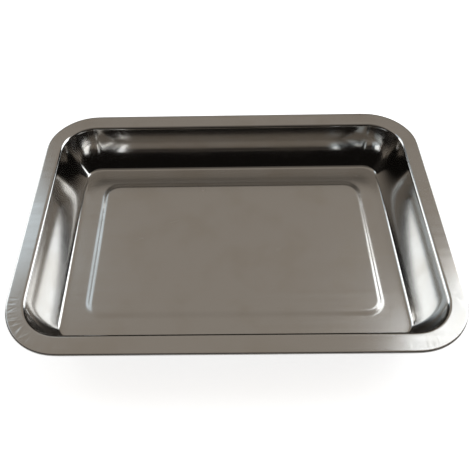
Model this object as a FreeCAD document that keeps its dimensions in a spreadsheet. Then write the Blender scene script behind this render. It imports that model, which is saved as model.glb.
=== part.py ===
"""Oil drain pan: one deep-drawn stainless pressing, with a flat rim, a rolled edge, hollow-bowed
walls and a shallow raised panel in the floor.

Millimetres and degrees. +Z is up and +X runs along the long side. The origin is the middle of
the footprint, on the surface that the pan rests on. "Wet side" is the face that holds the oil.
"""
import FreeCAD, Part
import math
import os

import Sketcher

SIZES = {
    "pan_width": 400.0,              # outside the rolled edge, along X
    "pan_depth": 295.0,              # outside the rolled edge, along Y
    "pan_height": 48.0,              # resting surface to the top of the rim
    "pan_corner_radius": 52.0,       # outside of the rolled edge, in plan
    "sheet_thickness": 0.6,
    "roll_diameter": 3.2,            # outside of the rolled edge, in section
    "roll_turn": 285.0,              # how far the edge is rolled round, in degrees
    "end_rim_width": 13.5,           # rolled edge and flat rim, at the two short ends
    "side_rim_width": 16.0,          # rolled edge and flat rim, along the two long sides
    "opening_corner_radius": 37.5,   # where the flat rim starts to bend down, in plan
    "bend_radius": 3.5,              # rim into wall, on the wet side
    "wall_run": 24.5,                # start of the bend to the flat floor, in plan
    "wall_bow_radius": 90.0,         # the wall's section is a hollow arc, steeper at its top
    "foot_radius": 4.5,              # wall into floor, on the wet side
    "end_margin": 17.5,              # flat floor outside the raised panel, at the ends
    "side_margin": 19.0,             # flat floor outside the raised panel, along the sides
    "panel_corner_radius": 20.0,     # outside of the raised panel's step, in plan
    "panel_step_width": 8.5,         # how far the step takes to rise, in plan
    "panel_rise": 1.2,
}


def inset(outline, at_ends, along_sides, radius):
    """An outline inside another. An outline is the expressions for its width, its depth and its
    corner radius."""
    width, depth, _ = outline
    return f"{width} - 2 * ({at_ends})", f"{depth} - 2 * ({along_sides})", radius


PAN = ("sizes.pan_width", "sizes.pan_depth", "sizes.pan_corner_radius")
RIM = inset(PAN, "sizes.roll_diameter / 2", "sizes.roll_diameter / 2",
            "sizes.pan_corner_radius - sizes.roll_diameter / 2")
OPENING = inset(PAN, "sizes.end_rim_width", "sizes.side_rim_width",
                "sizes.opening_corner_radius")
FLOOR = inset(OPENING, "sizes.wall_run", "sizes.wall_run",
              "sizes.opening_corner_radius - sizes.wall_run")
PANEL_FOOT = inset(FLOOR, "sizes.end_margin", "sizes.side_margin", "sizes.panel_corner_radius")
PANEL_TOP = inset(PANEL_FOOT, "sizes.panel_step_width", "sizes.panel_step_width",
                  "sizes.panel_corner_radius - sizes.panel_step_width")

START, END, CENTRE = 1, 2, 3       # Sketcher's numbers for the points of a line or an arc
ORIGIN = (-1, START)               # Sketcher's own origin point
X_AXIS = -1


def make_sheet(doc):
    """The driving dimensions, one row each: the name in column A, the number in column B."""
    sheet = doc.addObject("Spreadsheet::Sheet", "sizes")
    for row, (name, value) in enumerate(SIZES.items(), start=1):
        sheet.set(f"A{row}", name)
        sheet.set(f"B{row}", str(value))
        sheet.setAlias(f"B{row}", name)
    doc.recompute()


def measure(item, expression):
    """The number that an expression on the sheet gives now."""
    return float(item.evalExpression(expression))


def new_sketch(body, name, plane_role):
    sketch = body.newObject("Sketcher::SketchObject", name)
    plane = next(item for item in body.Origin.OriginFeatures if item.Role == plane_role)
    sketch.AttachmentSupport = [(plane, "")]
    sketch.MapMode = "FlatFace"
    return sketch


def line(sketch, start, end):
    return sketch.addGeometry(
        Part.LineSegment(FreeCAD.Vector(*start, 0), FreeCAD.Vector(*end, 0)))


def arc(sketch, centre, radius, start_angle, end_angle):
    """An arc drawn counter-clockwise from one angle to the other, in degrees."""
    circle = Part.Circle(FreeCAD.Vector(*centre, 0), FreeCAD.Vector(0, 0, 1), radius)
    return sketch.addGeometry(
        Part.ArcOfCircle(circle, math.radians(start_angle), math.radians(end_angle)))


def rule(sketch, kind, *places):
    """A constraint that holds without a number."""
    sketch.addConstraint(Sketcher.Constraint(kind, *places))


def dimension(sketch, name, kind, places, expression):
    """A named length or radius that the sheet drives."""
    index = sketch.addConstraint(Sketcher.Constraint(kind, *places, measure(sketch, expression)))
    sketch.renameConstraint(index, name)
    sketch.setExpression(f"Constraints.{name}", expression)


def angle_dimension(sketch, name, places, expression):
    """A named angle in degrees that the sheet drives."""
    angle = math.radians(measure(sketch, expression))
    index = sketch.addConstraint(Sketcher.Constraint("Angle", *places, angle))
    sketch.renameConstraint(index, name)
    sketch.setExpression(f"Constraints.{name}", f"({expression}) * 1 deg")


def rounded_rectangle(sketch, name, outline):
    """A rounded rectangle about the origin. Its right side is split on the X axis, so a section
    drawn in the XZ plane starts at a corner point of the path."""
    width, depth, radius = (measure(sketch, expression) for expression in outline)
    right, back = width / 2, depth / 2
    flat_x, flat_y = right - radius, back - radius

    chain = [
        line(sketch, (right, 0), (right, flat_y)),
        arc(sketch, (flat_x, flat_y), radius, 0, 90),
        line(sketch, (flat_x, back), (-flat_x, back)),
        arc(sketch, (-flat_x, flat_y), radius, 90, 180),
        line(sketch, (-right, flat_y), (-right, -flat_y)),
        arc(sketch, (-flat_x, -flat_y), radius, 180, 270),
        line(sketch, (-flat_x, -back), (flat_x, -back)),
        arc(sketch, (flat_x, -flat_y), radius, 270, 360),
        line(sketch, (right, -flat_y), (right, 0)),
    ]
    for first, second in zip(chain, chain[1:]):
        rule(sketch, "Tangent", first, END, second, START)
    upper, back_right, far, back_left, left, front_left, near, front_right, lower = chain
    rule(sketch, "Coincident", lower, END, upper, START)
    rule(sketch, "PointOnObject", upper, START, X_AXIS)
    for side in (upper, lower, left):
        rule(sketch, "Vertical", side)
    for side in (far, near):
        rule(sketch, "Horizontal", side)
    for corner in (back_left, front_left, front_right):
        rule(sketch, "Equal", back_right, corner)
    rule(sketch, "Symmetric", back_right, CENTRE, front_left, CENTRE, *ORIGIN)
    dimension(sketch, f"{name}_width", "DistanceX", (left, START, upper, START), outline[0])
    dimension(sketch, f"{name}_depth", "DistanceY", (near, START, far, END), outline[1])
    dimension(sketch, f"{name}_radius", "Radius", (back_right,), outline[2])


def roll_section(sketch):
    """The rolled edge cut in the XZ plane. It starts on the rim's edge, goes out and down, and
    comes back up under the rim."""
    centre_x = measure(sketch, f"({RIM[0]}) / 2")
    outer = measure(sketch, "sizes.roll_diameter / 2")
    inner = outer - measure(sketch, "sizes.sheet_thickness")
    centre_z = measure(sketch, "sizes.pan_height") - outer
    tip_angle = 90 - measure(sketch, "sizes.roll_turn")
    across, up = math.cos(math.radians(tip_angle)), math.sin(math.radians(tip_angle))

    start = line(sketch, (centre_x, centre_z + inner), (centre_x, centre_z + outer))
    outside = arc(sketch, (centre_x, centre_z), outer, tip_angle, 90)
    inside = arc(sketch, (centre_x, centre_z), inner, tip_angle, 90)
    tip = line(
        sketch,
        (centre_x + outer * across, centre_z + outer * up),
        (centre_x + inner * across, centre_z + inner * up),
    )

    rule(sketch, "Coincident", outside, CENTRE, inside, CENTRE)
    rule(sketch, "Coincident", start, END, outside, END)
    rule(sketch, "Coincident", start, START, inside, END)
    rule(sketch, "Vertical", start)
    rule(sketch, "Vertical", outside, END, outside, CENTRE)
    rule(sketch, "Coincident", tip, START, outside, START)
    rule(sketch, "Coincident", tip, END, inside, START)
    rule(sketch, "PointOnObject", outside, CENTRE, tip)

    dimension(sketch, "rim_edge", "DistanceX", (*ORIGIN, start, END), f"({RIM[0]}) / 2")
    dimension(sketch, "height", "DistanceY", (*ORIGIN, start, END), "sizes.pan_height")
    dimension(sketch, "radius", "Radius", (outside,), "sizes.roll_diameter / 2")
    dimension(sketch, "sheet", "DistanceY", (start, START, start, END), "sizes.sheet_thickness")
    angle_dimension(sketch, "tip_angle", (tip,), "270 - sizes.roll_turn")


def wall_centre(foot, foot_reach, bend, bend_reach):
    """The centre of the wall's arc: a given distance from the foot's centre and from the bend's
    centre, on the wet side."""
    across, up = bend[0] - foot[0], bend[1] - foot[1]
    gap = math.hypot(across, up)
    along = (foot_reach ** 2 - bend_reach ** 2 + gap ** 2) / (2 * gap)
    aside = math.sqrt(foot_reach ** 2 - along ** 2)
    return (
        foot[0] + (along * across - aside * up) / gap,
        foot[1] + (along * up + aside * across) / gap,
    )


def direction(centre, point):
    """The angle in degrees at which a point is seen from a centre."""
    return math.degrees(math.atan2(point[1] - centre[1], point[0] - centre[0]))


def wall_section(sketch):
    """The sheet cut through the bend, the wall and the foot, in the XZ plane. The wet side and
    the under side are two chains of tangent arcs about the same centres."""
    height = measure(sketch, "sizes.pan_height")
    sheet = measure(sketch, "sizes.sheet_thickness")
    bend_r = measure(sketch, "sizes.bend_radius")
    wall_r = measure(sketch, "sizes.wall_bow_radius")
    foot_r = measure(sketch, "sizes.foot_radius")
    rim_x = measure(sketch, f"({OPENING[0]}) / 2")
    floor_x = measure(sketch, f"({FLOOR[0]}) / 2")

    bend = (rim_x, height - bend_r)
    foot = (floor_x, sheet + foot_r)
    wall = wall_centre(foot, wall_r - foot_r, bend, wall_r + bend_r)
    foot_meets_wall = direction(wall, foot)
    wall_meets_bend = direction(wall, bend)

    rim_end = line(sketch, (rim_x, height), (rim_x, height - sheet))
    floor_end = line(sketch, (floor_x, sheet), (floor_x, 0))
    bend_wet = arc(sketch, bend, bend_r, 90, wall_meets_bend + 180)
    bend_under = arc(sketch, bend, bend_r - sheet, 90, wall_meets_bend + 180)
    wall_wet = arc(sketch, wall, wall_r, foot_meets_wall, wall_meets_bend)
    wall_under = arc(sketch, wall, wall_r + sheet, foot_meets_wall, wall_meets_bend)
    foot_wet = arc(sketch, foot, foot_r, -90, foot_meets_wall)
    foot_under = arc(sketch, foot, foot_r + sheet, -90, foot_meets_wall)

    for wet, under in ((bend_wet, bend_under), (wall_wet, wall_under), (foot_wet, foot_under)):
        rule(sketch, "Coincident", wet, CENTRE, under, CENTRE)
    for bend_arc, wall_arc, foot_arc, face in (
        (bend_wet, wall_wet, foot_wet, START), (bend_under, wall_under, foot_under, END),
    ):
        rule(sketch, "Coincident", rim_end, face, bend_arc, START)
        rule(sketch, "Tangent", bend_arc, END, wall_arc, END)
        rule(sketch, "Tangent", wall_arc, START, foot_arc, END)
        rule(sketch, "Coincident", floor_end, face, foot_arc, START)
    for end, wet in ((rim_end, bend_wet), (floor_end, foot_wet)):
        rule(sketch, "Vertical", end)
        rule(sketch, "Vertical", wet, START, wet, CENTRE)
    rule(sketch, "PointOnObject", floor_end, END, X_AXIS)

    dimension(sketch, "rim", "DistanceX", (*ORIGIN, rim_end, START), f"({OPENING[0]}) / 2")
    dimension(sketch, "floor", "DistanceX", (*ORIGIN, floor_end, END), f"({FLOOR[0]}) / 2")
    dimension(sketch, "height", "DistanceY", (*ORIGIN, rim_end, START), "sizes.pan_height")
    dimension(sketch, "sheet", "DistanceY", (floor_end, END, floor_end, START),
              "sizes.sheet_thickness")
    dimension(sketch, "bend_radius", "Radius", (bend_wet,), "sizes.bend_radius")
    dimension(sketch, "wall_radius", "Radius", (wall_wet,), "sizes.wall_bow_radius")
    dimension(sketch, "foot_radius", "Radius", (foot_wet,), "sizes.foot_radius")


def step_section(sketch):
    """The sheet cut through the raised panel's step, in the XZ plane: two equal arcs that turn
    one way and then the other."""
    outside = measure(sketch, f"({PANEL_FOOT[0]}) / 2")
    step = measure(sketch, "sizes.panel_step_width")
    rise = measure(sketch, "sizes.panel_rise")
    sheet = measure(sketch, "sizes.sheet_thickness")
    inside = outside - step
    radius = (step ** 2 + rise ** 2) / (4 * rise)
    slope = 2 * math.degrees(math.atan2(rise, step))
    low = (outside, sheet + radius)
    high = (inside, sheet + rise - radius)

    outer_end = line(sketch, (outside, sheet), (outside, 0))
    inner_end = line(sketch, (inside, sheet + rise), (inside, rise))
    low_wet = arc(sketch, low, radius, -90 - slope, -90)
    low_under = arc(sketch, low, radius + sheet, -90 - slope, -90)
    high_wet = arc(sketch, high, radius, 90 - slope, 90)
    high_under = arc(sketch, high, radius - sheet, 90 - slope, 90)

    rule(sketch, "Coincident", low_wet, CENTRE, low_under, CENTRE)
    rule(sketch, "Coincident", high_wet, CENTRE, high_under, CENTRE)
    rule(sketch, "Tangent", low_wet, START, high_wet, START)
    rule(sketch, "Tangent", low_under, START, high_under, START)
    rule(sketch, "Equal", low_wet, high_wet)
    for end, wet, under in (
        (outer_end, low_wet, low_under), (inner_end, high_wet, high_under),
    ):
        rule(sketch, "Vertical", end)
        rule(sketch, "Coincident", end, START, wet, END)
        rule(sketch, "Coincident", end, END, under, END)
        rule(sketch, "Vertical", wet, END, wet, CENTRE)
    rule(sketch, "PointOnObject", outer_end, END, X_AXIS)

    dimension(sketch, "outside", "DistanceX", (*ORIGIN, outer_end, END),
              f"({PANEL_FOOT[0]}) / 2")
    dimension(sketch, "step", "DistanceX", (inner_end, END, outer_end, END),
              "sizes.panel_step_width")
    dimension(sketch, "rise", "DistanceY", (*ORIGIN, inner_end, END), "sizes.panel_rise")
    dimension(sketch, "sheet", "DistanceY", (outer_end, END, outer_end, START),
              "sizes.sheet_thickness")


def swept_ring(body, name, outline, draw_section):
    """Sheet of one section carried all the way round an outline."""
    path = new_sketch(body, f"{name}_path", "XY_Plane")
    rounded_rectangle(path, "path", outline)
    section = new_sketch(body, f"{name}_section", "XZ_Plane")
    draw_section(section)
    body.Document.recompute()
    pipe = body.newObject("PartDesign::AdditivePipe", name)
    pipe.Profile = section
    pipe.Spine = (path, [f"Edge{number + 1}" for number in range(len(path.Geometry))])


def flat_sheet(body, name, outlines, underside):
    """Flat sheet inside the first outline and outside the second, if there is a second."""
    sketch = new_sketch(body, f"{name}_outline", "XY_Plane")
    sketch.setExpression("AttachmentOffset.Base.z", underside)
    for number, outline in enumerate(outlines):
        rounded_rectangle(sketch, f"outline_{number}", outline)
    pad = body.newObject("PartDesign::Pad", name)
    pad.Profile = sketch
    pad.setExpression("Length", "sizes.sheet_thickness")


def make_drain_pan(doc):
    """The pan, from its edge to its middle. Each stretch of sheet starts on the face where the
    last one ends, so the whole is one solid."""
    body = doc.addObject("PartDesign::Body", "drain_pan")
    body.Label = "drain_pan"
    body.Placement = FreeCAD.Placement()
    swept_ring(body, "rolled_edge", PAN, roll_section)
    flat_sheet(body, "rim", (RIM, OPENING), "sizes.pan_height - sizes.sheet_thickness")
    swept_ring(body, "wall", OPENING, wall_section)
    flat_sheet(body, "floor_margin", (FLOOR, PANEL_FOOT), "0")
    swept_ring(body, "panel_step", PANEL_FOOT, step_section)
    flat_sheet(body, "panel", (PANEL_TOP,), "sizes.panel_rise")
    doc.recompute()
    return body


def check(doc, parts):
    for item in doc.Objects:
        if "Invalid" in item.State or "Error" in item.State:
            raise RuntimeError(f"{item.Label} failed: {item.State}")
        if item.TypeId == "Sketcher::SketchObject" and not item.FullyConstrained:
            raise RuntimeError(f"{item.Label} isn't fully constrained")
    for part in parts:
        if part.Shape.isNull() or not part.Shape.isValid() or len(part.Shape.Solids) != 1:
            raise RuntimeError(f"{part.Label} isn't one valid solid")


def main():
    doc = FreeCAD.newDocument("oil_drain_pan")
    make_sheet(doc)
    parts = [make_drain_pan(doc)]
    check(doc, parts)
    os.makedirs("parts", exist_ok=True)
    for part in parts:
        part.Shape.exportStep(f"parts/{part.Label}.step")
        print(f"{part.Label}: {part.Shape.Volume / 1000:.1f} cm3, {len(part.Shape.Faces)} faces")


main()
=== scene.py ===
"""Oil drain pan: the looks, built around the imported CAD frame.

One pressing is modelled here as a dense sheet-metal mesh with both faces of the sheet, the
rolled edge, the draw marks that pressing leaves on the rim's corners, and a raised panel that
is very slightly domed, as thin sheet is. Metres, in the frame's own axes.
"""
import math
import random

import bmesh
import bpy
from bpy.props import FloatProperty, FloatVectorProperty, IntProperty, PointerProperty
from bpy.types import Operator, Panel, PropertyGroup
from mathutils import Matrix, Vector


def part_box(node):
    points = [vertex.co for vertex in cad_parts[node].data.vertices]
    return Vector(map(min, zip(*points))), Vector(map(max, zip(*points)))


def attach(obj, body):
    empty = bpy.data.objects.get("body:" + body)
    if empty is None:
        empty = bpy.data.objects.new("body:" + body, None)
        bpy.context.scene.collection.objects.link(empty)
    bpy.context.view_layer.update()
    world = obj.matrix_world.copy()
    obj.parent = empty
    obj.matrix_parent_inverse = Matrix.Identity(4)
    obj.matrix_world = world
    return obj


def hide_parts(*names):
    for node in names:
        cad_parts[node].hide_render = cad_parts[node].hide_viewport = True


bl_info = {
    "name": "Oil Drain Pan",
    "version": (1, 0, 0),
    "blender": (4, 5, 0),
    "location": "3D View > Sidebar > Drain Pan",
    "description": "Builds the looks of a pressed stainless oil drain pan around its CAD frame",
    "category": "Object",
}

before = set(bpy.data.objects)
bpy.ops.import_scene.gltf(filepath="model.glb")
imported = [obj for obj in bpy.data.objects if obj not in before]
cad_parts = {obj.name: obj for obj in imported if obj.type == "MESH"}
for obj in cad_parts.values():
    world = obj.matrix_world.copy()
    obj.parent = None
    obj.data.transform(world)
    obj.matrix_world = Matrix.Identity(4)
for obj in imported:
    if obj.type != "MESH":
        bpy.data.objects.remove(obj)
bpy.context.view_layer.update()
PAN_NODE = "drain_pan"
ROOT_BODY = "root"
PAN_LOW, PAN_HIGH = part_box(PAN_NODE)
PAN_SIZE = [high - low for low, high in zip(PAN_LOW, PAN_HIGH)]
MM = 0.001


# ---------------------------------------------------------------- settings

def length(name, description, default):
    return FloatProperty(
        name=name, description=description, default=default, min=0.0, unit="LENGTH",
        precision=5)


def angle(name, description, default):
    return FloatProperty(
        name=name, description=description, default=math.radians(default), subtype="ANGLE")


def share(name, description, default):
    return FloatProperty(
        name=name, description=description, default=default, min=0.0, max=1.0,
        subtype="FACTOR")


def brightness(name, description, default):
    return FloatProperty(name=name, description=description, default=default, min=0.0)


def colour(name, description, default):
    return FloatVectorProperty(
        name=name, description=description, default=default, size=3, min=0.0,
        subtype="COLOR")


class PanShape(PropertyGroup):
    """Sizes of the pressing that the frame's box doesn't give."""
    corner_radius: length("Corner radius", "Outside of the rolled edge, in plan", 52 * MM)
    sheet: length("Sheet", "Thickness of the sheet", 0.6 * MM)
    roll: length("Roll", "Outside diameter of the rolled edge", 3.2 * MM)
    roll_turn: angle("Roll turn", "How far the edge is rolled round", 285)
    end_rim: length("End rim", "Rolled edge and flat rim at the short ends", 13.5 * MM)
    side_rim: length("Side rim", "Rolled edge and flat rim along the long sides", 16 * MM)
    opening_radius: length("Opening radius", "Corner of the opening, in plan", 37.5 * MM)
    bend: length("Bend", "Radius from the rim into the wall", 3.5 * MM)
    wall_run: length("Wall run", "Bend to the flat floor, in plan", 24.5 * MM)
    wall_bow: length("Wall bow", "Radius of the wall's hollow section", 90 * MM)
    foot: length("Foot", "Radius from the wall into the floor", 4.5 * MM)
    end_margin: length("End margin", "Flat floor outside the panel, at the ends", 17.5 * MM)
    side_margin: length("Side margin", "Flat floor outside the panel, at the sides", 19 * MM)
    panel_radius: length("Panel radius", "Outside of the panel's step, in plan", 20 * MM)
    step: length("Step", "How far the panel's step takes to rise", 8.5 * MM)
    rise: length("Rise", "Height of the raised panel", 1.2 * MM)
    step_fillet: share("Step fillet", "Fillet's share of the step, against its crown", 0.5)
    dome: length("Dome", "How far the panel domes up in its middle", 0.25 * MM)
    easing: share("Easing", "How gently the sides run into the corners, in plan", 0.35)
    draw_marks: length("Draw marks", "Height of the puckers on the rim's corners", 0.07 * MM)
    seed: IntProperty(name="Seed", description="Pattern of the draw marks", default=7)


class PanFinish(PropertyGroup):
    """Colours and gloss of the stainless sheet."""
    steel: colour("Steel", "Colour of the clean stainless sheet", (0.60, 0.59, 0.575))
    smudge: colour("Smudge", "Colour of the sheet under finger marks", (0.57, 0.55, 0.52))
    satin: share("Satin", "Roughness of the floor", 0.20)
    rim: share("Rim", "Roughness of the rim and the rolled edge", 0.15)
    polished: share("Polished", "Roughness of the drawn walls", 0.09)
    underside: share("Underside", "Roughness of the under side", 0.30)
    grain: length("Grain", "Depth of the rolled grain", 0.0010 * MM)
    draw_lines: length("Draw lines", "Depth of the lines drawn up the walls", 0.0004 * MM)


class PanStudio(PropertyGroup):
    """Floor, light and camera."""
    floor: colour("Floor", "Colour of the studio floor", (0.86, 0.86, 0.86))
    floor_glow: share("Floor glow", "Light given off by the lit floor", 0.80)
    floor_mirrored: share("Floor mirrored", "The floor's own light as the steel mirrors it", 0.12)
    right: brightness("Right softbox", "How bright the right softbox looks", 2.0)
    right_high: brightness("High right softbox", "How bright the high right softbox looks", 1.4)
    left: brightness("Left softbox", "How bright the upper left softbox looks", 0.62)
    left_low: brightness("Low left softbox", "How bright the low left softbox looks", 2.0)
    backdrop: colour("Backdrop", "Colour of the backdrop past the floor", (0.90, 0.90, 0.90))
    room: colour("Room", "Upper part of the room behind the pan", (0.345, 0.307, 0.265))
    room_low: share("Room low", "Room's brightness near the floor, against above", 0.05)
    front: share("Front", "How bright the room is on the camera's side", 0.35)
    ceiling: brightness("Ceiling", "Ceiling's brightness, against the room below it", 0.95)
    lens: FloatProperty(name="Lens", description="Focal length in millimetres", default=43.6)
    pitch: angle("Pitch", "How far the camera looks down", 51.88)
    turn: angle("Turn", "Camera's heading, from the pan's short axis", 1.19)
    roll: angle("Roll", "Camera's roll", -1.57)


# ---------------------------------------------------------------- mesh of the pressing

class Loop:
    """One rounded rectangle of the sheet, at one height."""

    def __init__(self, half_x, half_y, radius, z, drawn=0.0, rim=0.0):
        self.half_x = half_x
        self.half_y = half_y
        self.radius = max(radius, 0.0)
        self.z = z
        self.drawn = drawn      # 1 where the sheet was stretched and burnished by the die
        self.rim = rim          # from 0 at the rolled edge to 1 at the bend, and 0 elsewhere

    def inset(self, amount, z, **marks):
        return Loop(self.half_x - amount, self.half_y - amount, self.radius - amount, z, **marks)

    def toward(self, other, portion, **marks):
        mix = [a + (b - a) * portion for a, b in (
            (self.half_x, other.half_x), (self.half_y, other.half_y),
            (self.radius, other.radius), (self.z, other.z))]
        return Loop(*mix, **marks)


# points round each loop
CORNER_STEPS = 112
SIDE_STEPS = 48
END_STEPS = 36
# loops down each stretch of the sheet
ROLL_STEPS = 36
RIM_STEPS = 16
BEND_STEPS = 14
WALL_STEPS = 30
FOOT_STEPS = 14
MARGIN_STEPS = 6
FILLET_STEPS = 8
CROWN_STEPS = 14
PANEL_STEPS = 24

QUARTER = math.radians(90)
CORNERS = ((1, 1), (-1, 1), (-1, -1), (1, -1))      # signs of x and y, from back right round


def stations():
    """Where the points of a loop are: (corner, step round it, slide along the side after it)."""
    made = []
    for quarter, steps in enumerate((SIDE_STEPS, END_STEPS, SIDE_STEPS, END_STEPS)):
        made += [(quarter, step, 0.0) for step in range(CORNER_STEPS)]
        made += [(quarter, CORNER_STEPS, step / steps) for step in range(steps)]
    return made


STATIONS = stations()


def corner_curve(easing):
    """A quarter turn of radius about 1 whose bend grows and dies away gently, as a pressed
    corner's does. Gives the reach of its ends from the sharp corner, and its points from it."""
    bends = [min(1.0, min(step + 0.5, CORNER_STEPS - step - 0.5) / (CORNER_STEPS / 2 * easing))
             for step in range(CORNER_STEPS)]
    share_of_turn = QUARTER / sum(bends)
    bearing, x, y = 0.0, 0.0, 0.0
    path = [(0.0, 0.0)]
    for bend in bends:
        bearing += bend * share_of_turn / 2
        x -= math.sin(bearing)
        y += math.cos(bearing)
        bearing += bend * share_of_turn / 2
        path.append((x, y))
    reach = y
    middle = path[CORNER_STEPS // 2]
    gap = math.hypot(middle[0], middle[1] - reach)
    scale = (math.sqrt(2) - 1) / gap
    return reach * scale, [(px * scale, (py - reach) * scale) for px, py in path]


def place(loop, station, corner):
    """A loop's point at a station. The corner comes first, then the side after it."""
    reach, path = corner
    quarter, step, slide = station
    sign_x, sign_y = CORNERS[quarter]
    turn = Matrix.Rotation(QUARTER * quarter, 2)
    offset = turn @ Vector(path[step]) * loop.radius
    x = sign_x * loop.half_x + offset.x
    y = sign_y * loop.half_y + offset.y
    if slide:
        next_x, next_y = CORNERS[(quarter + 1) % 4]
        turn = Matrix.Rotation(QUARTER * (quarter + 1), 2)
        offset = turn @ Vector(path[0]) * loop.radius
        x += (next_x * loop.half_x + offset.x - x) * slide
        y += (next_y * loop.half_y + offset.y - y) * slide
    return x, y


def arc_angles(first, last, steps):
    """Angles evenly spaced from the first to the last."""
    return [first + (last - first) * step / steps for step in range(steps + 1)]


def wall_centre(foot, foot_reach, bend, bend_reach):
    """Centre of the wall's arc, from its distances to the foot's and the bend's centres."""
    across, up = bend[0] - foot[0], bend[1] - foot[1]
    gap = math.hypot(across, up)
    along = (foot_reach ** 2 - bend_reach ** 2 + gap ** 2) / (2 * gap)
    aside = math.sqrt(foot_reach ** 2 - along ** 2)
    return (foot[0] + (along * across - aside * up) / gap,
            foot[1] + (along * up + aside * across) / gap)


def outlines(shape):
    """The rounded rectangles that the stretches of sheet run between."""
    width, depth, height = PAN_SIZE
    pan = Loop(width / 2, depth / 2, shape.corner_radius, height)
    rim = pan.inset(shape.roll / 2, height)
    opening = Loop(width / 2 - shape.end_rim, depth / 2 - shape.side_rim,
                   shape.opening_radius, height)
    floor = opening.inset(shape.wall_run, shape.sheet)
    panel = Loop(floor.half_x - shape.end_margin, floor.half_y - shape.side_margin,
                 shape.panel_radius, shape.sheet)
    return rim, opening, floor, panel


def roll_loops(shape, rim, offset):
    """Rolled edge from its tip round to the rim. offset is how far inside the outer face."""
    radius = shape.roll / 2
    tip = QUARTER - shape.roll_turn
    made = []
    for turn in arc_angles(tip, QUARTER, ROLL_STEPS):
        reach = (radius - offset) * math.cos(turn)
        made.append(rim.inset(-reach, rim.z - radius + (radius - offset) * math.sin(turn)))
    return made


def wall_loops(shape, opening, offset):
    """Bend, wall and foot, from the rim down. offset is how far outside the wet face."""
    height = opening.z
    bend = (0.0, height - shape.bend)
    foot = (-shape.wall_run, shape.sheet + shape.foot)
    wall = wall_centre(foot, shape.wall_bow - shape.foot, bend, shape.wall_bow + shape.bend)
    top = math.atan2(bend[1] - wall[1], bend[0] - wall[0])
    bottom = math.atan2(foot[1] - wall[1], foot[0] - wall[0])
    stretches = (
        (bend, shape.bend - offset, arc_angles(QUARTER, top + math.pi, BEND_STEPS)),
        (wall, shape.wall_bow + offset, arc_angles(top, bottom, WALL_STEPS)[1:]),
        (foot, shape.foot + offset, arc_angles(bottom, -QUARTER, FOOT_STEPS)[1:]),
    )
    made = []
    for number, (centre, radius, angles) in enumerate(stretches):
        for step, turn in enumerate(angles):
            x = centre[0] + radius * math.cos(turn)
            z = centre[1] + radius * math.sin(turn)
            portion = (step + 1) / len(angles)
            drawn = (portion, 1.0, 1.0 - portion)[number]
            made.append(opening.inset(-x, z, drawn=drawn))
    return made


def step_loops(shape, panel, offset):
    """The panel's step, from its outside up: a fillet, then the crown that runs into the panel.
    offset is how far under the wet face."""
    both = (shape.step ** 2 + shape.rise ** 2) / (2 * shape.rise)
    fillet = both * shape.step_fillet
    crown = both - fillet
    slope = 2 * math.atan2(shape.rise, shape.step)
    made = []
    for turn in arc_angles(0, slope, FILLET_STEPS):
        reach = (fillet + offset) * math.sin(turn)
        made.append(panel.inset(reach, panel.z + fillet - (fillet + offset) * math.cos(turn)))
    for turn in arc_angles(slope, 0, CROWN_STEPS)[1:]:
        reach = shape.step - (crown - offset) * math.sin(turn)
        z = panel.z + shape.rise - crown + (crown - offset) * math.cos(turn)
        made.append(panel.inset(reach, z))
    return made


def face_loops(shape, offset):
    """One face of the sheet, from the tip of the roll to the middle of the panel."""
    rim, opening, floor, panel = outlines(shape)
    for loop in (rim, opening):
        loop.z = PAN_SIZE[2]
    made = roll_loops(shape, rim, offset)
    level = PAN_SIZE[2] - offset
    outer, inner = rim.inset(0, level), opening.inset(0, level)
    for step in range(1, RIM_STEPS):
        portion = step / RIM_STEPS
        made.append(outer.toward(inner, portion, rim=portion))
    made += wall_loops(shape, opening, offset)
    outer, inner = floor.inset(0, shape.sheet - offset), panel.inset(0, shape.sheet - offset)
    for step in range(1, MARGIN_STEPS):
        made.append(outer.toward(inner, step / MARGIN_STEPS))
    made += step_loops(shape, panel, offset)
    edge = made[-1]
    middle = Loop(0.0, 0.0, 0.0, edge.z)
    for step in range(1, PANEL_STEPS):
        made.append(edge.toward(middle, step / PANEL_STEPS))
    return made


PUCKER_SHARE = (0.12, 0.18, 1.0, 0.4)      # how marked each corner is, from back right round
PUCKERS_TO_A_CORNER = 44
PUCKERS_PAST_CORNER = 0.2       # how far they spread along the sides, against the corner's turn
PUCKER_TAIL = 4                 # widths from its middle at which a pucker has died out


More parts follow.
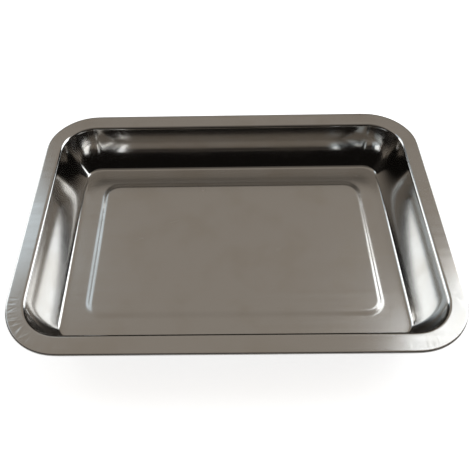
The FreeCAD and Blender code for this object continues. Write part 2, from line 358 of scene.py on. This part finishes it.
class DrawMarks:
    """Puckers on the rim's corners, where the blank was squeezed together as it drew in. Each
    is a narrow ridge or furrow that starts at the rolled edge and dies out across the rim."""

    def __init__(self, shape):
        source = random.Random(shape.seed)
        self.height = shape.draw_marks
        self.puckers = [[self.pucker(source) for _ in range(PUCKERS_TO_A_CORNER)]
                        for _ in CORNERS]

    def pucker(self, source):
        """One pucker. Its place, lean and width are shares of the turn round the corner, and
        its reach is a share of the way across the rim."""
        return {
            "at": source.uniform(-0.10, 1.10),
            "lean": source.uniform(-0.05, 0.08),
            "width": source.uniform(0.008, 0.018),
            "reach": source.uniform(0.45, 1.0),
            "size": source.choice((-1, 1)) * source.uniform(0.2, 1.0),
        }

    def lift(self, station, across, side_steps):
        """Height at a station; across runs from 0 at the rolled edge to 1 at the bend."""
        if across <= 0.0 or across >= 1.0:
            return 0.0
        quarter, step, slide = station
        turn = step / CORNER_STEPS + slide * side_steps
        total = self.raised(quarter, turn, across)
        if slide:
            total += self.raised((quarter + 1) % 4, (slide - 1) * side_steps, across)
        return total

    def raised(self, quarter, turn, across):
        """Height from one corner's puckers; turn runs from 0 to 1 round the corner."""
        if not -PUCKERS_PAST_CORNER < turn < 1 + PUCKERS_PAST_CORNER:
            return 0.0
        total = 0.0
        for pucker in self.puckers[quarter]:
            away = (turn - pucker["at"] - pucker["lean"] * across) / pucker["width"]
            if abs(away) < PUCKER_TAIL:
                fade = max(0.0, 1 - across / pucker["reach"])
                total += pucker["size"] * math.exp(-away * away) * min(1.0, fade * 2)
        return self.height * PUCKER_SHARE[quarter] * total * math.sin(math.pi * across) ** 0.5


def add_face(mesh, loops, shape, marks, dome_loops):
    """Adds one face's points to the mesh. Returns its rings, and the point in the middle."""
    rings = []
    corner = corner_curve(shape.easing)
    side_steps = PAN_SIZE[0] / (shape.corner_radius * math.pi / 2)
    drawn = mesh.verts.layers.float["drawn"]
    rimmed = mesh.verts.layers.float["rimmed"]
    for number, loop in enumerate(loops):
        from_edge = number - (len(loops) - dome_loops)
        dome = 0.0
        if from_edge >= 0:
            dome = shape.dome * math.sin(QUARTER * (from_edge + 1) / dome_loops) ** 2
        ring = []
        for station in STATIONS:
            x, y = place(loop, station, corner)
            z = loop.z + dome + marks.lift(station, loop.rim, side_steps)
            point = mesh.verts.new((x, y, z))
            point[drawn] = loop.drawn
            point[rimmed] = float(number < ROLL_STEPS + RIM_STEPS)
            ring.append(point)
        rings.append(ring)
    centre = mesh.verts.new((0.0, 0.0, loops[-1].z + shape.dome))
    return rings, centre


def bridge(mesh, first, second, flip=False):
    """Faces between two rings. Flipped ones belong to the under side."""
    count = len(first)
    for index in range(count):
        following = (index + 1) % count
        corners = [first[index], first[following], second[following], second[index]]
        if flip:
            corners.reverse()
        face = mesh.faces.new(corners)
        face.smooth = True
        face.material_index = int(flip)


def cap(mesh, ring, centre, flip=False):
    """Faces from the last ring in to the middle point."""
    count = len(ring)
    for index in range(count):
        corners = [ring[index], ring[(index + 1) % count], centre]
        if flip:
            corners.reverse()
        face = mesh.faces.new(corners)
        face.smooth = True
        face.material_index = int(flip)


def pressing_mesh(shape):
    """Both faces of the sheet, joined at the tip of the rolled edge."""
    mesh = bmesh.new()
    mesh.verts.layers.float.new("drawn")
    mesh.verts.layers.float.new("rimmed")
    marks = DrawMarks(shape)
    wet, wet_centre = add_face(mesh, face_loops(shape, 0.0), shape, marks, PANEL_STEPS - 1)
    under, under_centre = add_face(
        mesh, face_loops(shape, shape.sheet), shape, marks, PANEL_STEPS - 1)
    for first, second in zip(wet, wet[1:]):
        bridge(mesh, first, second)
    cap(mesh, wet[-1], wet_centre)
    for first, second in zip(under, under[1:]):
        bridge(mesh, first, second, flip=True)
    cap(mesh, under[-1], under_centre, flip=True)
    bridge(mesh, under[0], wet[0])
    made = bpy.data.meshes.new("pan_pressing")
    mesh.to_mesh(made)
    mesh.free()
    return made


# ---------------------------------------------------------------- finish

def new_group(name, inputs, outputs):
    """A shader node group with named float inputs and outputs."""
    group = bpy.data.node_groups.new(name, "ShaderNodeTree")
    for label, default in inputs:
        socket = group.interface.new_socket(label, in_out="INPUT", socket_type="NodeSocketFloat")
        socket.default_value = default
    for label in outputs:
        group.interface.new_socket(label, in_out="OUTPUT", socket_type="NodeSocketFloat")
    return group, group.nodes.new("NodeGroupInput"), group.nodes.new("NodeGroupOutput")


def stretched_noise(tree, scale, turn=0.0, detail=2.0, roughness=0.5):
    """Noise on the object's own axes, finer along some of them. Scale is in features a metre."""
    where = tree.nodes.new("ShaderNodeTexCoord")
    mapping = tree.nodes.new("ShaderNodeMapping")
    mapping.vector_type = "TEXTURE" if turn else "POINT"
    noise = tree.nodes.new("ShaderNodeTexNoise")
    if turn:
        mapping.inputs["Rotation"].default_value = (0.0, 0.0, math.radians(turn))
        mapping.inputs["Scale"].default_value = [1 / part for part in scale]
    else:
        mapping.inputs["Scale"].default_value = scale
    noise.inputs["Scale"].default_value = 1.0
    noise.inputs["Detail"].default_value = detail
    noise.inputs["Roughness"].default_value = roughness
    tree.links.new(where.outputs["Object"], mapping.inputs["Vector"])
    tree.links.new(mapping.outputs["Vector"], noise.inputs["Vector"])
    return noise.outputs["Fac"]


def maths(tree, kind, first, second=None):
    """A sum, product or the like of two values, each a number or another node's output."""
    node = tree.nodes.new("ShaderNodeMath")
    node.operation = kind
    for socket, value in zip(node.inputs, (first, second)):
        if value is None:
            continue
        if isinstance(value, (int, float)):
            socket.default_value = value
        else:
            tree.links.new(value, socket)
    return node.outputs[0]


def between(tree, value, low, high):
    """0 below low, 1 above high, and smooth between them."""
    node = tree.nodes.new("ShaderNodeMapRange")
    node.interpolation_type = "SMOOTHSTEP"
    node.inputs["From Min"].default_value = low
    node.inputs["From Max"].default_value = high
    tree.links.new(value, node.inputs["Value"])
    return node.outputs["Result"]


# features a metre along X, Y and Z
FINE_GRAIN = (14.0, 2600.0, 900.0)
BROAD_GRAIN = (3.0, 210.0, 90.0)
FINE_LINES = (1100.0, 1100.0, 22.0)
BROAD_LINES = (120.0, 120.0, 9.0)
SMUDGE_PATCHES = (24.0, 24.0, 24.0)
SCRATCHES_ONE_WAY = (9.0, 900.0, 60.0)
SCRATCHES_OTHER_WAY = (11.0, 800.0, 60.0)
# height of the broad part, against the fine part's
BROAD_GRAIN_SHARE = 0.6
BROAD_LINES_SHARE = 1.4


def rolled_grain_group():
    """Fine lines that the mill's rolls leave along the sheet, from one end to the other."""
    group, given, result = new_group("rolled_grain", [("Depth", 1.0)], ["Height", "Streaks"])
    fine = stretched_noise(group, FINE_GRAIN, detail=3.0)
    broad = stretched_noise(group, BROAD_GRAIN, detail=2.0)
    height = maths(group, "ADD", fine, maths(group, "MULTIPLY", broad, BROAD_GRAIN_SHARE))
    group.links.new(maths(group, "MULTIPLY", height, given.outputs["Depth"]),
                    result.inputs["Height"])
    group.links.new(broad, result.inputs["Streaks"])
    return group


def draw_lines_group():
    """Lines that the die burnishes up the walls."""
    group, given, result = new_group("draw_lines", [("Depth", 1.0)], ["Height", "Streaks"])
    fine = stretched_noise(group, FINE_LINES, detail=2.0)
    broad = stretched_noise(group, BROAD_LINES, detail=1.0)
    height = maths(group, "ADD", fine, maths(group, "MULTIPLY", broad, BROAD_LINES_SHARE))
    group.links.new(maths(group, "MULTIPLY", height, given.outputs["Depth"]),
                    result.inputs["Height"])
    group.links.new(broad, result.inputs["Streaks"])
    return group


def handling_group():
    """Finger smudges, and the light scratches that come from stacking."""
    group, given, result = new_group(
        "handling", [("Smudge", 1.0), ("Scratch", 1.0)], ["Smudges", "Scratches"])
    patches = between(group, stretched_noise(group, SMUDGE_PATCHES, detail=4.0), 0.42, 0.72)
    group.links.new(maths(group, "MULTIPLY", patches, given.outputs["Smudge"]),
                    result.inputs["Smudges"])
    one_way = stretched_noise(group, SCRATCHES_ONE_WAY, turn=17.0)
    one_way = between(group, one_way, 0.70, 0.76)
    other_way = stretched_noise(group, SCRATCHES_OTHER_WAY, turn=-38.0)
    other_way = between(group, other_way, 0.71, 0.77)
    both = maths(group, "MAXIMUM", one_way, other_way)
    group.links.new(maths(group, "MULTIPLY", both, given.outputs["Scratch"]),
                    result.inputs["Scratches"])
    return group


def new_material(name):
    """An empty material and its node tree."""
    material = bpy.data.materials.new(name)
    material.use_nodes = True
    material.node_tree.nodes.clear()
    return material, material.node_tree


def place_group(tree, group):
    node = tree.nodes.new("ShaderNodeGroup")
    node.node_tree = group
    return node


def bump(tree, height, distance, under=None):
    """A bump on top of the one under it."""
    node = tree.nodes.new("ShaderNodeBump")
    node.inputs["Distance"].default_value = distance
    tree.links.new(height, node.inputs["Height"])
    if under is not None:
        tree.links.new(under, node.inputs["Normal"])
    return node.outputs["Normal"]


def mix_value(tree, share_of_second, first, second):
    """A blend of two values, each a number or another node's output."""
    node = tree.nodes.new("ShaderNodeMix")
    node.data_type = "FLOAT"
    tree.links.new(share_of_second, node.inputs[0])
    for socket, value in zip((node.inputs[2], node.inputs[3]), (first, second)):
        if isinstance(value, (int, float)):
            socket.default_value = value
        else:
            tree.links.new(value, socket)
    return node.outputs[0]


SCRATCH_DEPTH = 0.002 * MM
# how much each mark changes the roughness
STREAK_GLOSS = 0.10
SMUDGE_GLOSS = 0.03
SCRATCH_GLOSS = 0.05
# the under side's grain and lines, against the wet side's
UNDERSIDE_GRAIN = 1.4
UNDERSIDE_LINES = 1.6


def stainless(name, finish, groups, dull, bright, grain, lines):
    """Stainless sheet: dull as rolled, bright where the die drew it, with grain to match.
    The mesh's "drawn" and "rimmed" values say where the walls and the rim are."""
    material, tree = new_material(name)
    output = tree.nodes.new("ShaderNodeOutputMaterial")
    shader = tree.nodes.new("ShaderNodeBsdfPrincipled")
    shader.inputs["Metallic"].default_value = 1.0
    drawn = tree.nodes.new("ShaderNodeAttribute")
    drawn.attribute_name = "drawn"
    rolled = place_group(tree, groups["rolled_grain"])
    burnished = place_group(tree, groups["draw_lines"])
    handled = place_group(tree, groups["handling"])

    plain = maths(tree, "SUBTRACT", 1.0, drawn.outputs["Fac"])
    rolled_height = maths(tree, "MULTIPLY", rolled.outputs["Height"], plain)
    drawn_height = maths(tree, "MULTIPLY", burnished.outputs["Height"], drawn.outputs["Fac"])
    normal = bump(tree, rolled_height, grain)
    normal = bump(tree, drawn_height, lines, normal)
    normal = bump(tree, handled.outputs["Scratches"], -SCRATCH_DEPTH, normal)
    tree.links.new(normal, shader.inputs["Normal"])

    rimmed = tree.nodes.new("ShaderNodeAttribute")
    rimmed.attribute_name = "rimmed"
    gloss = mix_value(tree, rimmed.outputs["Fac"], dull, finish.rim)
    gloss = mix_value(tree, drawn.outputs["Fac"], gloss, bright)
    streaks = maths(tree, "SUBTRACT", rolled.outputs["Streaks"], 0.5)
    streaks = maths(tree, "MULTIPLY", streaks, STREAK_GLOSS)
    smudges = maths(tree, "MULTIPLY", handled.outputs["Smudges"], SMUDGE_GLOSS)
    scratches = maths(tree, "MULTIPLY", handled.outputs["Scratches"], SCRATCH_GLOSS)
    gloss = maths(tree, "ADD", gloss, maths(tree, "MULTIPLY", streaks, plain))
    gloss = maths(tree, "ADD", gloss, smudges)
    gloss = maths(tree, "ADD", gloss, scratches)
    tree.links.new(gloss, shader.inputs["Roughness"])

    tint = tree.nodes.new("ShaderNodeMix")
    tint.data_type = "RGBA"
    tint.inputs[6].default_value = (*finish.steel, 1.0)
    tint.inputs[7].default_value = (*finish.smudge, 1.0)
    tree.links.new(handled.outputs["Smudges"], tint.inputs[0])
    tree.links.new(tint.outputs[2], shader.inputs["Base Color"])
    tree.links.new(shader.outputs["BSDF"], output.inputs["Surface"])
    return material


# ---------------------------------------------------------------- operators

class DRAINPAN_OT_pressing(Operator):
    """Build the pressed sheet with its rolled edge, and hide its CAD stand-in"""
    bl_idname = "drain_pan.pressing"
    bl_label = "Pressing"

    def execute(self, context):
        shape, finish = context.scene.pan_shape, context.scene.pan_finish
        groups = {"rolled_grain": rolled_grain_group(), "draw_lines": draw_lines_group(),
                  "handling": handling_group()}
        piece = bpy.data.objects.new("pan_pressing", pressing_mesh(shape))
        context.scene.collection.objects.link(piece)
        piece.data.materials.append(stainless(
            "stainless_wet_side", finish, groups, finish.satin, finish.polished,
            finish.grain, finish.draw_lines))
        piece.data.materials.append(stainless(
            "stainless_under_side", finish, groups, finish.underside, finish.satin,
            finish.grain * UNDERSIDE_GRAIN, finish.draw_lines * UNDERSIDE_LINES))
        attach(piece, ROOT_BODY)
        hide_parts(PAN_NODE)
        return {"FINISHED"}


SOFTBOX_DISTANCE = 1.7
LAMP_POWER = 4.0                # lamp power for each square metre and unit of brightness
ROOM_EDGE = (31, 37)            # elevations between which the dark low room turns light
CEILING_EDGE = (62, 75)         # elevations between which the room turns into its ceiling
FRONT_EDGE = (-0.45, -0.05)     # Y of the direction where the camera's side turns into the rest
FLOOR_REACH = 6.0
FLOOR_ROUGHNESS = 0.9
CAMERA_SHIFT = 0.0389
# the camera's X and Y from the pan's middle, and its height above the rim
CAMERA_X, CAMERA_Y, CAMERA_UP = -9.2 * MM, -356.6 * MM, 422.8 * MM


def add_softbox(name, azimuths, elevations, radiance, tint):
    """A softbox that stands upright and faces the pan. It fills the stretch of azimuths, from
    +X towards +Y, and elevations given, in degrees from the pan. radiance is how bright its
    face looks."""
    first, last = azimuths
    bearing = math.radians((first + last) / 2)
    half_angle = math.radians(last - first) / 2
    low, high = [SOFTBOX_DISTANCE * math.tan(math.radians(e)) for e in elevations]
    data = bpy.data.lights.new(name, "AREA")
    data.shape = "RECTANGLE"
    data.size = 2 * SOFTBOX_DISTANCE * math.tan(half_angle)
    data.size_y = high - low
    data.energy = radiance * data.size * data.size_y * LAMP_POWER
    data.color = tint
    lamp = bpy.data.objects.new(name, data)
    lamp.location = Vector((math.cos(bearing), math.sin(bearing), 0.0)) * SOFTBOX_DISTANCE
    facing = -lamp.location
    lamp.location.z = (low + high) / 2
    lamp.rotation_euler = facing.to_track_quat("-Z", "Y").to_euler()
    lamp.visible_camera = False
    bpy.context.scene.collection.objects.link(lamp)


def studio_world(studio):
    """A grey room that is dark near the floor and on the camera's side. The camera itself sees
    a plain pale backdrop."""
    world = bpy.data.worlds.new("studio")
    world.use_nodes = True
    tree = world.node_tree
    tree.nodes.clear()
    output = tree.nodes.new("ShaderNodeOutputWorld")
    where = tree.nodes.new("ShaderNodeTexCoord")
    split = tree.nodes.new("ShaderNodeSeparateXYZ")
    tree.links.new(where.outputs["Generated"], split.inputs["Vector"])
    up = split.outputs["Z"]
    high = between(tree, up, *[math.sin(math.radians(e)) for e in ROOM_EDGE])
    overhead = between(tree, up, *[math.sin(math.radians(e)) for e in CEILING_EDGE])
    level = mix_value(tree, high, studio.room_low, 1.0)
    ceiling = mix_value(tree, overhead, 1.0, studio.ceiling)
    behind = between(tree, split.outputs["Y"], *FRONT_EDGE)
    side = mix_value(tree, behind, studio.front, 1.0)
    level = maths(tree, "MULTIPLY", level, side)
    room = tree.nodes.new("ShaderNodeBackground")
    room.inputs["Color"].default_value = (*studio.room, 1.0)
    tree.links.new(maths(tree, "MULTIPLY", level, ceiling), room.inputs["Strength"])
    backdrop = tree.nodes.new("ShaderNodeBackground")
    backdrop.inputs["Color"].default_value = (*studio.backdrop, 1.0)
    seen = tree.nodes.new("ShaderNodeLightPath")
    either = tree.nodes.new("ShaderNodeMixShader")
    tree.links.new(seen.outputs["Is Camera Ray"], either.inputs[0])
    tree.links.new(room.outputs["Background"], either.inputs[1])
    tree.links.new(backdrop.outputs["Background"], either.inputs[2])
    tree.links.new(either.outputs["Shader"], output.inputs["Surface"])
    return world


def studio_floor(studio):
    """A pale floor that glows evenly, as a light table does. Steel mirrors less of its glow."""
    data = bpy.data.meshes.new("studio_floor")
    corners = [(x * FLOOR_REACH, y * FLOOR_REACH, 0)
               for x, y in ((-1, -1), (1, -1), (1, 1), (-1, 1))]
    data.from_pydata(corners, [], [(0, 1, 2, 3)])
    floor = bpy.data.objects.new("studio_floor", data)
    floor.location.z = PAN_LOW[2]
    material, tree = new_material("studio_floor")
    output = tree.nodes.new("ShaderNodeOutputMaterial")
    shader = tree.nodes.new("ShaderNodeBsdfPrincipled")
    shader.inputs["Base Color"].default_value = (*studio.floor, 1.0)
    shader.inputs["Roughness"].default_value = FLOOR_ROUGHNESS
    shader.inputs["Specular IOR Level"].default_value = 0.0
    shader.inputs["Emission Color"].default_value = (1.0, 1.0, 1.0, 1.0)
    path = tree.nodes.new("ShaderNodeLightPath")
    glow = mix_value(tree, path.outputs["Is Glossy Ray"], studio.floor_glow, studio.floor_mirrored)
    tree.links.new(glow, shader.inputs["Emission Strength"])
    tree.links.new(shader.outputs["BSDF"], output.inputs["Surface"])
    data.materials.append(material)
    return floor


def studio_camera(studio):
    """A camera that looks down on the pan from its front."""
    camera = bpy.data.objects.new("camera", bpy.data.cameras.new("camera"))
    camera.data.lens = studio.lens
    camera.data.shift_x = CAMERA_SHIFT
    turn = (Matrix.Rotation(studio.turn, 4, "Z")
            @ Matrix.Rotation(math.radians(90) - studio.pitch, 4, "X")
            @ Matrix.Rotation(studio.roll, 4, "Z"))
    place_at = Vector((CAMERA_X, CAMERA_Y, PAN_HIGH[2] + CAMERA_UP))
    camera.matrix_world = Matrix.Translation(place_at) @ turn
    return camera


class DRAINPAN_OT_stage(Operator):
    """Lay the pale floor and set up the studio light and the camera"""
    bl_idname = "drain_pan.stage"
    bl_label = "Stage"

    def execute(self, context):
        scene, studio = context.scene, context.scene.pan_studio
        floor = studio_floor(studio)
        scene.collection.objects.link(floor)
        add_softbox("right_softbox", (4, 47.5), (2, 53), studio.right, (0.93, 0.97, 1.0))
        add_softbox("right_high_softbox", (30, 50), (53, 61), studio.right_high, (0.90, 0.96, 1.0))
        add_softbox("left_softbox", (120, 170), (31, 52), studio.left, (0.70, 0.87, 1.0))
        add_softbox("left_low_softbox", (132, 160), (2, 34), studio.left_low, (0.94, 0.98, 1.0))
        scene.world = studio_world(studio)
        scene.view_settings.view_transform = "Standard"
        camera = studio_camera(studio)
        scene.collection.objects.link(camera)
        scene.camera = camera
        return {"FINISHED"}


class DRAINPAN_PT_panel(Panel):
    """Sidebar panel that lists the drain pan's operators and settings"""
    bl_idname = "DRAINPAN_PT_panel"
    bl_label = "Drain Pan"
    bl_space_type = "VIEW_3D"
    bl_region_type = "UI"
    bl_category = "Drain Pan"

    def draw(self, context):
        column = self.layout.column()
        for operator in (DRAINPAN_OT_pressing, DRAINPAN_OT_stage):
            column.operator(operator.bl_idname)
        for group in (context.scene.pan_shape, context.scene.pan_finish,
                      context.scene.pan_studio):
            for name in group.__annotations__:
                column.prop(group, name)


CLASSES = (
    PanShape, PanFinish, PanStudio, DRAINPAN_OT_pressing, DRAINPAN_OT_stage,
    DRAINPAN_PT_panel,
)


def register():
    for cls in CLASSES:
        bpy.utils.register_class(cls)
    bpy.types.Scene.pan_shape = PointerProperty(type=PanShape)
    bpy.types.Scene.pan_finish = PointerProperty(type=PanFinish)
    bpy.types.Scene.pan_studio = PointerProperty(type=PanStudio)


def unregister():
    for name in ("pan_shape", "pan_finish", "pan_studio"):
        delattr(bpy.types.Scene, name)
    for cls in reversed(CLASSES):
        bpy.utils.unregister_class(cls)


def main():
    register()
    bpy.ops.drain_pan.pressing()
    bpy.ops.drain_pan.stage()


if __name__ == "__main__":
    main()
